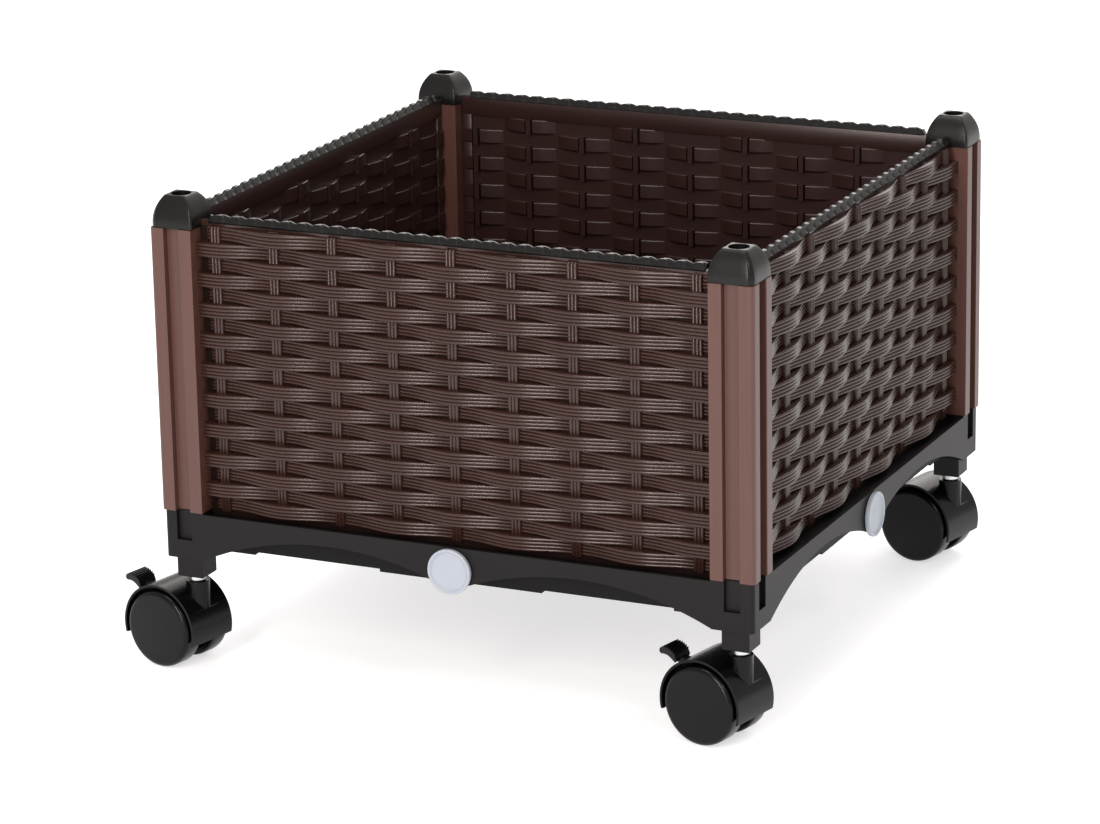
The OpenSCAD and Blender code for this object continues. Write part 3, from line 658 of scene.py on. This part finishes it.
def humpTree(values):
    tree, out = newTree("trimHumps", values)
    # Seven rows of points, at whole numbers of y: the foot is 3, the edge 2, the inside of the
    # edge 1 and the ridge 0, and the same again behind; along the strip, eighteen steps a hump
    steps = addNode(tree, calc, [out["Count"], 18.0, 1.0], operation="MULTIPLY_ADD")
    size = addNode(tree, vector, [out["Length"], 6.0, 2.0])
    strip = addNode(tree, "GeometryNodeMeshCube", {"Size": size, "Vertices X": steps,
                    "Vertices Y": 7, "Vertices Z": 2})
    place = addNode(tree, "ShaderNodeSeparateXYZ",
                    [addNode(tree, "GeometryNodeInputPosition")]).outputs
    row = addNode(tree, calc, [place[1]], operation="ABSOLUTE")
    isFoot = addNode(tree, calc, [row, 2.5], operation="GREATER_THAN")
    isInner = addNode(tree, calc, [row, 1.5], operation="LESS_THAN")
    isRidge = addNode(tree, calc, [row, 0.5], operation="LESS_THAN")
    isBack = addNode(tree, calc, [place[1], 0.0], operation="GREATER_THAN")
    isTop = addNode(tree, calc, [place[2], 0.0], operation="GREATER_THAN")
    # How far along a hump, from the front's notch, or from the back's
    along = addNode(tree, calc, [addNode(tree, calc, [place[0], out["Length"]],
                                         operation="DIVIDE"), out["Count"]],
                    operation="MULTIPLY")
    halfway = addNode(tree, calc, [out["Count"], 0.5, along], operation="MULTIPLY_ADD")
    behind = addNode(tree, calc, [out["Shift"], halfway], operation="SUBTRACT")
    edgewise = addNode(tree, mix, {"Factor": isBack, "A": halfway, "B": behind})
    midway = addNode(tree, calc, [out["Shift"], -0.5, halfway], operation="MULTIPLY_ADD")
    which = addNode(tree, mix, {"Factor": isRidge, "A": edgewise, "B": midway})
    nudged = addNode(tree, calc, [which, 0.0001], operation="ADD")   # rounding flips no share
    share = addNode(tree, calc, [nudged], operation="FRACT")
    left = addNode(tree, calc, [1.0, share], operation="SUBTRACT")
    rise = addNode(tree, mix, {"Factor": isRidge, "A": out["Rise"], "B": out["Middle"]})
    fall = addNode(tree, mix, {"Factor": isRidge, "A": out["Fall"], "B": out["Middle"]})
    up = addNode(tree, calc, [share, rise], operation="DIVIDE")
    down = addNode(tree, calc, [left, fall], operation="DIVIDE")
    lower = addNode(tree, calc, [up, down], operation="MINIMUM")
    full = addNode(tree, calc, [lower, 1.0], operation="MINIMUM")
    dipped = addNode(tree, calc, [out["Height"], out["Dip"]], operation="SUBTRACT")
    bottom = addNode(tree, mix, {"Factor": isRidge, "A": out["Notch"], "B": dipped})
    crest = addNode(tree, mix, {"Factor": full, "A": bottom, "B": out["Height"]})
    top = addNode(tree, mix, {"Factor": isFoot, "A": crest, "B": out["Foot"]})
    z = addNode(tree, calc, [isTop, top], operation="MULTIPLY")
    # The sides lean inwards up to the ridge, and above the foot they stand at least a cut inside
    over = addNode(tree, calc, [top, out["Foot"]], operation="SUBTRACT")
    tall = addNode(tree, calc, [out["Height"], out["Foot"]], operation="SUBTRACT")
    drawnIn = addNode(tree, calc, [addNode(tree, calc, [over, tall], operation="DIVIDE"),
                                   out["Lean"]], operation="MULTIPLY")
    cutIn = addNode(tree, calc, [isFoot, addNode(tree, calc, [out["Cut"], -1.0],
                                                 operation="MULTIPLY"), out["Cut"]],
                    operation="MULTIPLY_ADD")
    deeper = addNode(tree, calc, [drawnIn, cutIn], operation="MAXIMUM")
    further = addNode(tree, calc, [isInner, out["Edge"], deeper], operation="MULTIPLY_ADD")
    reach = addNode(tree, calc, [out["Half width"], further], operation="SUBTRACT")
    # The underside is flat and a quarter narrower
    below = addNode(tree, calc, [addNode(tree, calc, [row, 0.25], operation="MULTIPLY"),
                                 out["Half width"]], operation="MULTIPLY")
    side = addNode(tree, mix, {"Factor": isTop, "A": below, "B": reach})
    y = addNode(tree, calc, [side, addNode(tree, calc, [place[1]], operation="SIGN")],
                operation="MULTIPLY")
    shaped = addNode(tree, "GeometryNodeSetPosition", {"Geometry": strip, "Position":
                     addNode(tree, vector, [place[0], y, z])})
    return endTree(tree, shaped, out)


def makeTrims():
    t = trim
    values = {"Length": trimHigh.x - trimLow.x, "Count": t["humps"], "Half width": t["half"] * mm,
              "Height": t["height"] * mm, "Notch": t["notch"] * mm, "Cut": t["cut"] * mm,
              "Foot": t["foot"] * mm, "Lean": t["lean"] * mm, "Edge": t["edge"] * mm,
              "Dip": t["dip"] * mm, "Rise": t["rise"], "Fall": t["fall"],
              "Middle": t["middle"], "Shift": t["shift"], "Material": blackPlastic}
    mesh = evaluatedMesh(humpTree(values), "trimHumps", values)
    mesh.transform(Matrix.Translation((0, -half, trimLow.z + t["low"] * mm)))
    for i, side in enumerate(sideNames):
        own = mesh.copy()
        own.transform(turnedTo(i))
        addPiece("ropeTrim_" + side, own, blackPlastic, "planter", "moulded_black",
                 "trim_" + side, crease=18)


makeTrims()
print("trims made")


# Posts, legs, tray and hoods: the CAD's own shapes with their edges rounded, in mm

rounding = {"post": 0.6, "leg": 0.8, "tray": 0.5, "hood": 1.0,
            "sharp": 35,                          # degrees, from which an edge is rounded
            "shadedWallDepth": 6.0}                      # the tray's walls lie so far behind the skirt


def softened(node, name, paint, slot, body, kind, segments=3):
    bm = bmesh.new()
    bm.from_mesh(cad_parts[node].data)
    bmesh.ops.remove_doubles(bm, verts=bm.verts, dist=0.004 * mm)
    bmesh.ops.dissolve_limit(bm, angle_limit=math.radians(0.6), verts=bm.verts, edges=bm.edges)
    obj = addPiece(name, meshFrom(bm, name), paint, body, slot, node, crease=rounding["sharp"])
    bevel = obj.modifiers.new("edges", "BEVEL")
    bevel.width, bevel.segments, bevel.limit_method = rounding[kind] * mm, segments, "ANGLE"
    bevel.angle_limit = math.radians(rounding["sharp"])
    obj.modifiers.new("normals", "WEIGHTED_NORMAL").keep_sharp = False
    return obj


def makeFrame():
    for corner in cornerNames:
        softened("post_" + corner, "post_" + corner + "_extrusion", postPlastic, "post_brown",
                 "planter", "post")
        softened("leg_" + corner, "leg_" + corner + "_moulding", trayPlastic, "moulded_black",
                 "planter", "leg")
    tray = softened("base_tray", "tray", trayPlastic, "moulded_black", "planter", "tray", 2).data
    # Upright faces inside the skirt get the darker, duller black: painted shade behind the arches
    tray.materials.append(wallShadePlastic)
    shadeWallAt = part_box("base_tray")[1].x - rounding["shadedWallDepth"] * mm
    for face in tray.polygons:
        isUpright = abs(face.normal.z) < 0.5
        if max(abs(face.center.x), abs(face.center.y)) < shadeWallAt and isUpright:
            face.material_index = 1


makeFrame()
print("posts, legs and tray made")


# Caps, in mm: half widths and cut corners of the dome at its foot and at its top

cap = {"side": 14.5, "sideTop": 7.6, "outer": 18.5, "other": 19.8, "cornerTop": 10.2, "rim": 2.0,
       "fillet": 0.9, "edge": 0.7, "domeSteps": 12, "hole": 6.35, "holeEdge": 0.3,
       "sleeve": 12.0, "sleeveWall": 1.5}


def capRing(side, corners, z, fillet):
    # Forty-eight points round a square with four cut and softened corners
    outline = []
    for q in range(4):
        turn = Matrix.Rotation(math.pi / 2 * q, 2)
        outline += [turn @ Vector((side, side - corners[q - 1] * math.sqrt(2))),
                    turn @ Vector((side, corners[q] * math.sqrt(2) - side))]
    points = []
    for k, point in enumerate(outline):
        before, after = outline[k - 1] - point, outline[(k + 1) % 8] - point
        reach = min(fillet, before.length * 0.45, after.length * 0.45)
        a, b = point + before.normalized() * reach, point + after.normalized() * reach
        for t in (0.0, 1 / 3, 2 / 3, 1.0):
            points.append((1 - t) ** 2 * a + 2 * t * (1 - t) * point + t ** 2 * b)
        if k % 2 == 0:
            points += [b.lerp(outline[k + 1] - after.normalized() * reach, j / 5)
                       for j in range(1, 5)]
    return [Vector((q.x, q.y, z)) for q in points]


def makeCaps():
    c = cap
    top = (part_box("cap_fl")[1].z - capZ) / mm
    rise = top - c["rim"]
    bottoms = [c["other"], c["other"], c["outer"], c["other"]]       # the front left cap's corners

    def leaning(bottom, over, z):
        lean = bottom - over
        radius = (rise * rise + lean * lean) / (2 * lean)
        return bottom - (radius - math.sqrt(radius ** 2 - z ** 2))

    def ring(height, inset=0.0):
        z = max(0.0, min(rise, height - c["rim"]))
        return capRing(leaning(c["side"], c["sideTop"], z) - inset,
                       [leaning(b, c["cornerTop"], z) - inset for b in bottoms], height,
                       c["fillet"])

    def holeRing(radius, height):
        return [Vector((q.x, q.y, 0)).normalized() * radius + Vector((0, 0, height))
                for q in rings[0]]

    # Up the rim and the dome, over the hole's edge, and down and up again round the sleeve
    rings = [ring(0, 0.3), ring(0.4)]
    rings += [ring(c["rim"] + (rise - c["edge"] * 0.6) * k / c["domeSteps"])
              for k in range(c["domeSteps"] + 1)]
    rings += [ring(top - 0.12, 0.1), ring(top, 0.4)]
    hole, outer = c["hole"], c["hole"] + c["sleeveWall"]
    rings += [holeRing(hole + c["holeEdge"], top), holeRing(hole, top - c["holeEdge"]),
              holeRing(hole, -c["sleeve"]), holeRing(outer, -c["sleeve"]), holeRing(outer, 0.0)]
    bm = bmesh.new()
    made = [[bm.verts.new(q * mm) for q in points] for points in rings]
    count = len(made[0])
    for a, b in zip(made, made[1:] + made[:1]):
        for k in range(count):
            bm.faces.new((a[k], a[(k + 1) % count], b[(k + 1) % count], b[k]))
    mesh = meshFrom(bm, "cap")
    for i, corner in enumerate(cornerNames):
        own = mesh.copy()
        place = cornerPlaces[corner]
        own.transform(Matrix.Translation((place.x, place.y, capZ)) @ turnedTo(i))
        addPiece("cap_" + corner + "_dome", own, blackPlastic, "planter", "moulded_black",
                 "cap_" + corner, crease=35)


makeCaps()
print("caps made")


# Drain plugs, in mm

plug = {"radius": 14.4, "thick": 3.2, "rim": 1.7, "dish": 1.5, "stem": 6.0}


def makePlugs():
    p = plug
    low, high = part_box("drain_plug_front")
    reach = (high.y - low.y) / mm
    r, t = p["radius"], p["thick"]
    # From the stem's end round the disc's rim to its dish: radius, and height inwards from the
    # disc's outer face
    profile = [(0, reach), (p["stem"] - 0.6, reach), (p["stem"], reach - 0.6), (p["stem"], t),
               (r - 0.8, t), (r - 0.2, t - 0.3), (r, t - 0.9), (r, 0.7), (r - 0.2, 0.2),
               (r - 0.6, 0), (r - p["rim"] + 0.3, 0), (r - p["rim"], 0.2),
               (r - p["rim"] - 0.5, 0.5 * p["dish"])]
    profile += [((r - p["rim"] - 0.9) * (1 - k / 8),
                 p["dish"] * (0.75 + 0.25 * math.sin(math.pi * k / 8))) for k in range(9)]
    mesh = meshFrom(lathed([(a * mm, b * mm) for a, b in profile], 96), "plug")
    mesh.transform(Matrix.Translation((0, low.y, plugZ)) @ Matrix.Rotation(-math.pi / 2, 4, "X"))
    for i, side in enumerate(sideNames):
        own = mesh.copy()
        own.transform(turnedTo(i))
        addPiece("plug_" + side, own, plugPlastic, "drain_plug_" + side, "plug_white",
                 "drain_plug_" + side, crease=30)


makePlugs()
print("drain plugs made")


# Casters, in mm, made with the stem on Z and the axle along +X from it

caster = {"wheelRadius": 25.0, "wheelWidth": 14.0, "web": 12.0, "gap": 0.5, "hub": 6.0,
          "bore": 3.1, "stem": 4.0, "collar": 5.5, "collarHeight": 3.8, "collarEdge": 0.5}

# Seen from the side: distance from the stem and height
pedal = {"width": 15.0, "ridges": 6, "ridge": 1.1, "heel": (42.9, 47.2), "from": (43.6, 48.4),
         "to": (52.6, 52.1), "bulge": 1.15,
         "tip": [(53.5, 52.0), (54.3, 51.1), (54.6, 49.9), (54.2, 48.7), (53.2, 48.0)],
         "under": [(51.0, 48.2), (48.6, 47.8), (46.6, 46.7), (44.9, 45.4), (43.2, 44.0),
                   (42.4, 45.4)],
         "neck": [(26.0, 39.0), (46.0, 43.6), (46.0, 46.8), (26.0, 44.5)], "neckWidth": 6.0,
         "eye": 4.0, "eyeEdge": 0.3, "pin": (26.0, 41.0), "bore": 1.6}


def slab(bm, outline, wide):
    near, far = [[bm.verts.new((x * mm, sign * wide / 2 * mm, z * mm)) for x, z in outline]
                 for sign in (-1, 1)]
    bm.faces.new(near)
    bm.faces.new(far[::-1])
    for k in range(len(near)):
        n = (k + 1) % len(near)
        bm.faces.new((near[n], near[k], far[k], far[n]))


def pedalMesh(place):
    # A curved pad with ridges along the axle, on a neck that turns about the pin
    p = pedal
    start, end = Vector(p["from"]), Vector(p["to"])
    way = end - start
    up = Vector((-way.y, way.x)).normalized()
    top = []
    for k in range(p["ridges"] * 4 + 1):
        t = k / (p["ridges"] * 4)
        bump = (0.0, 1.0, 1.0, 0.0)[k % 4] * p["ridge"]
        point = start + way * t + up * (p["bulge"] * 4 * t * (1 - t) + bump)
        top.append((point.x, point.y))
    bm = bmesh.new()
    slab(bm, [p["heel"]] + top + p["tip"] + p["under"], p["width"])
    slab(bm, p["neck"], p["neckWidth"])
    mesh = meshFrom(bm, "pedal")
    bore, eye, wide, soft = p["bore"], p["eye"], p["neckWidth"] / 2, p["eyeEdge"]
    turned = lathed([(a * mm, b * mm) for a, b in (
        (bore, -wide), (eye - soft, -wide), (eye, soft - wide), (eye, wide - soft),
        (eye - soft, wide), (bore, wide), (bore, -wide))], 32)
    bmesh.ops.remove_doubles(turned, verts=turned.verts, dist=0.001 * mm)
    ring = meshFrom(turned, "eye", Matrix.Translation((p["pin"][0] * mm, 0, p["pin"][1] * mm))
                    @ Matrix.Rotation(math.pi / 2, 4, "X"))
    whole = joined([mesh, ring], "pedal")
    whole.transform(place)
    return whole


def makeCasters():
    c = caster
    inner = c["web"] / 2 + c["gap"]
    r, w, hub, bore = c["wheelRadius"], c["wheelWidth"], c["hub"], c["bore"]
    # From the outer face inwards: a flat face with a rolled shoulder, then the tread, the hollow
    # behind the rim and the hub with its bore
    profile = [(0, 0), (r - 3.4, 0), (r - 2.4, 0.12), (r - 1.5, 0.5), (r - 0.8, 1.1),
               (r - 0.25, 2.1), (r, 3.4), (r, w - 1.6), (r - 0.3, w - 0.7), (r - 1.0, w),
               (r - 3.5, w), (r - 3.5, 2.5), (hub, 2.5), (hub, w), (bore, w), (bore, 2.8),
               (0, 2.8)]
    wheel = meshFrom(lathed([(a * mm, b * mm) for a, b in profile], 96), "wheel")
    stemLow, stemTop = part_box("stem_fl")
    stem, collar, soft = c["stem"] * mm, c["collar"] * mm, c["collarEdge"] * mm
    low = legZ - c["collarHeight"] * mm
    shape = [(0, stemLow.z), (stem, stemLow.z), (stem, low), (collar - soft, low),
             (collar, low + soft), (collar, legZ - soft), (collar - soft, legZ), (stem, legZ),
             (stem, stemTop.z), (0, stemTop.z)]
    for corner in cornerNames:
        place = atCaster(corner)
        for name, sign in (("near", 1), ("far", -1)):
            own = wheel.copy()
            own.transform(Matrix.Rotation(math.pi / 2 * sign, 4, "X"))
            own.transform(place @ Matrix.Translation((trail, sign * (inner + w) * mm, axleZ)))
            own.name = "wheel"
            body = "wheel_%s_%s" % (corner, name)
            addPiece(body + "_moulding", own, casterPlastic, body, "wheel_black", body, crease=35)
        softened("hood_" + corner, "hood_" + corner + "_moulding", casterPlastic, "caster_black",
                 "caster_" + corner, "hood")
        turned = meshFrom(lathed(shape, 48), "stem", place)
        addPiece("stem_" + corner + "_turned", turned, steel, "planter", "steel",
                 "stem_" + corner, crease=35)
        paintMesh(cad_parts["axle_" + corner].data, steel)
    for corner in ("fl", "fr"):
        addPiece("pedal_" + corner, pedalMesh(atCaster(corner)), blackPlastic,
                 "brake_pedal_" + corner, "caster_black", "brake_pedal_" + corner, crease=38)
        paintMesh(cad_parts["brake_pin_" + corner].data, steel)


makeCasters()
print("casters made")
